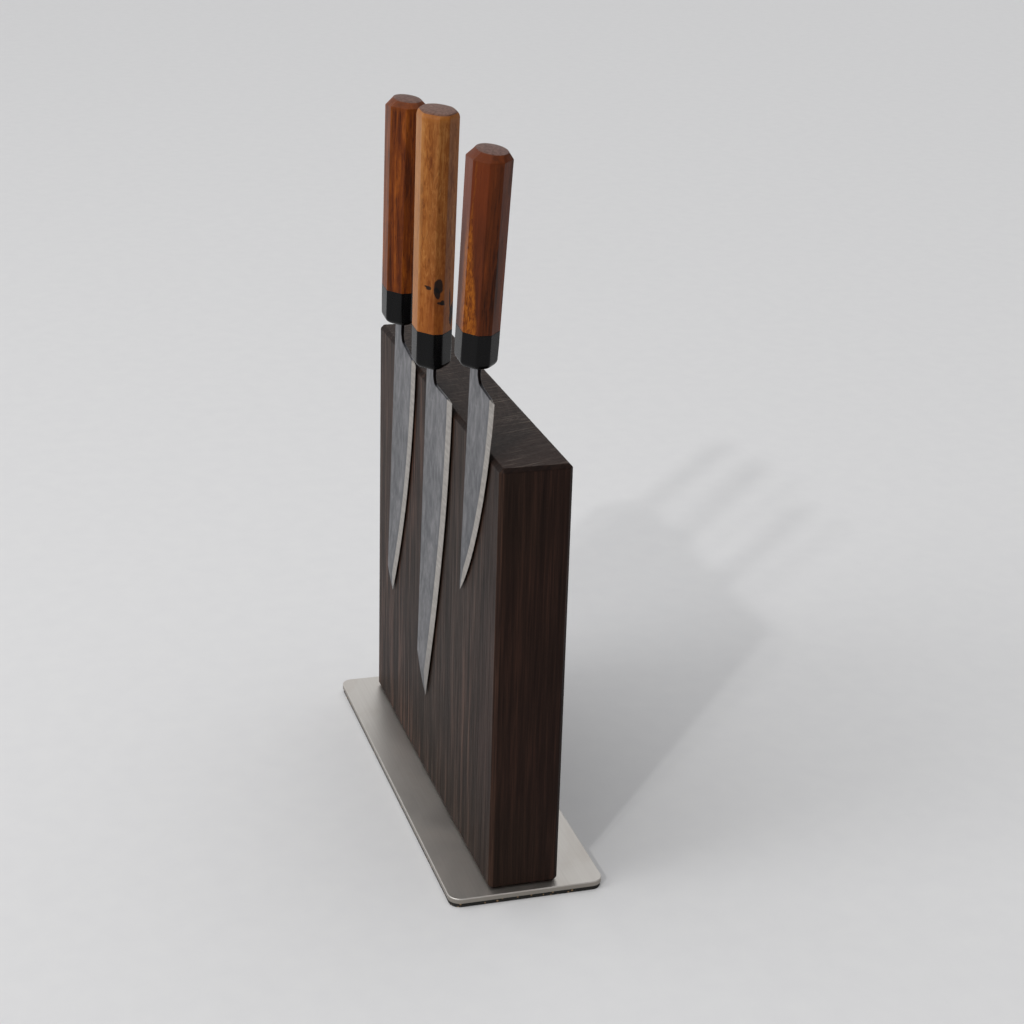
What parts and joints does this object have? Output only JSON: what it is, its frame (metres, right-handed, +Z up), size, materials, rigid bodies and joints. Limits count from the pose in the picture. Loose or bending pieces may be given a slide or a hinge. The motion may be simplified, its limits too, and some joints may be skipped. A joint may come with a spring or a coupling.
{
  "type": "knife block with knives",
  "caption": "Upright magnetic board of dark hardwood staves on a flat steel base, holding octagon-handled kitchen knives blade-down on its front face.",
  "frame": {"origin": "centre of the base pad's underside, where the stand rests on the worktop", "axes": "+Z up; +X along the board's width, towards the petty knife; +Y to the rear, away from the knives"},
  "size_m": [0.2822, 0.0892, 0.4161],
  "materials": {
    "pad": "matt cork-rubber, fine light flecks",
    "plate": "fine straight brushing along its length",
    "screws": "plain stainless",
    "inserts": "machined",
    "dowel_wood": "plain beech, uncoated",
    "board_wood": "smoked hardwood, oiled, satin",
    "magnets": "nickel plated",
    "blades": "soft satin flats with a brighter ground bevel",
    "ferrules": "polished black horn, satin",
    "utility_handle_wood": "oiled reddish hardwood, satin",
    "chef_handle_wood": "oiled orange-brown hardwood with a dark knot, satin",
    "petty_handle_wood": "oiled dark red-brown hardwood with an orange streak, satin"
  },
  "bodies": {
    "stand": {"base_pad": "pad", "base_plate": "plate", "base_screws": "screws", "threaded_inserts": "inserts", "board_dowels": "dowel_wood", "front_stave_far": "board_wood", "front_stave_middle": "board_wood", "front_stave_near": "board_wood", "rear_stave_far": "board_wood", "rear_stave_middle": "board_wood", "rear_stave_near": "board_wood", "front_magnet_low_1": "magnets", "front_magnet_low_2": "magnets", "front_magnet_low_3": "magnets", "front_magnet_low_4": "magnets", "front_magnet_low_5": "magnets", "front_magnet_low_6": "magnets", "front_magnet_low_7": "magnets", "front_magnet_high_1": "magnets", "front_magnet_high_2": "magnets", "front_magnet_high_3": "magnets", "front_magnet_high_4": "magnets", "front_magnet_high_5": "magnets", "front_magnet_high_6": "magnets", "front_magnet_high_7": "magnets", "rear_magnet_low_1": "magnets", "rear_magnet_low_2": "magnets", "rear_magnet_low_3": "magnets", "rear_magnet_low_4": "magnets", "rear_magnet_low_5": "magnets", "rear_magnet_low_6": "magnets", "rear_magnet_low_7": "magnets", "rear_magnet_high_1": "magnets", "rear_magnet_high_2": "magnets", "rear_magnet_high_3": "magnets", "rear_magnet_high_4": "magnets", "rear_magnet_high_5": "magnets", "rear_magnet_high_6": "magnets", "rear_magnet_high_7": "magnets"},
    "utility_knife": {"utility_blade": "blades", "utility_ferrule": "ferrules", "utility_handle": "utility_handle_wood", "utility_core": "dowel_wood"},
    "chef_knife": {"chef_blade": "blades", "chef_ferrule": "ferrules", "chef_handle": "chef_handle_wood", "chef_core": "dowel_wood"},
    "petty_knife": {"petty_blade": "blades", "petty_ferrule": "ferrules", "petty_handle": "petty_handle_wood", "petty_core": "dowel_wood"}
  },
  "joints": [
    {"name": "utility_knife_pull", "type": "slide", "parent": "stand", "child": "utility_knife", "axis": [0, -1, 0], "range_m": [0, 0.12]},
    {"name": "chef_knife_pull", "type": "slide", "parent": "stand", "child": "chef_knife", "axis": [0, -1, 0], "range_m": [0, 0.12]},
    {"name": "petty_knife_pull", "type": "slide", "parent": "stand", "child": "petty_knife", "axis": [0, -1, 0], "range_m": [0, 0.12]}
  ]
}
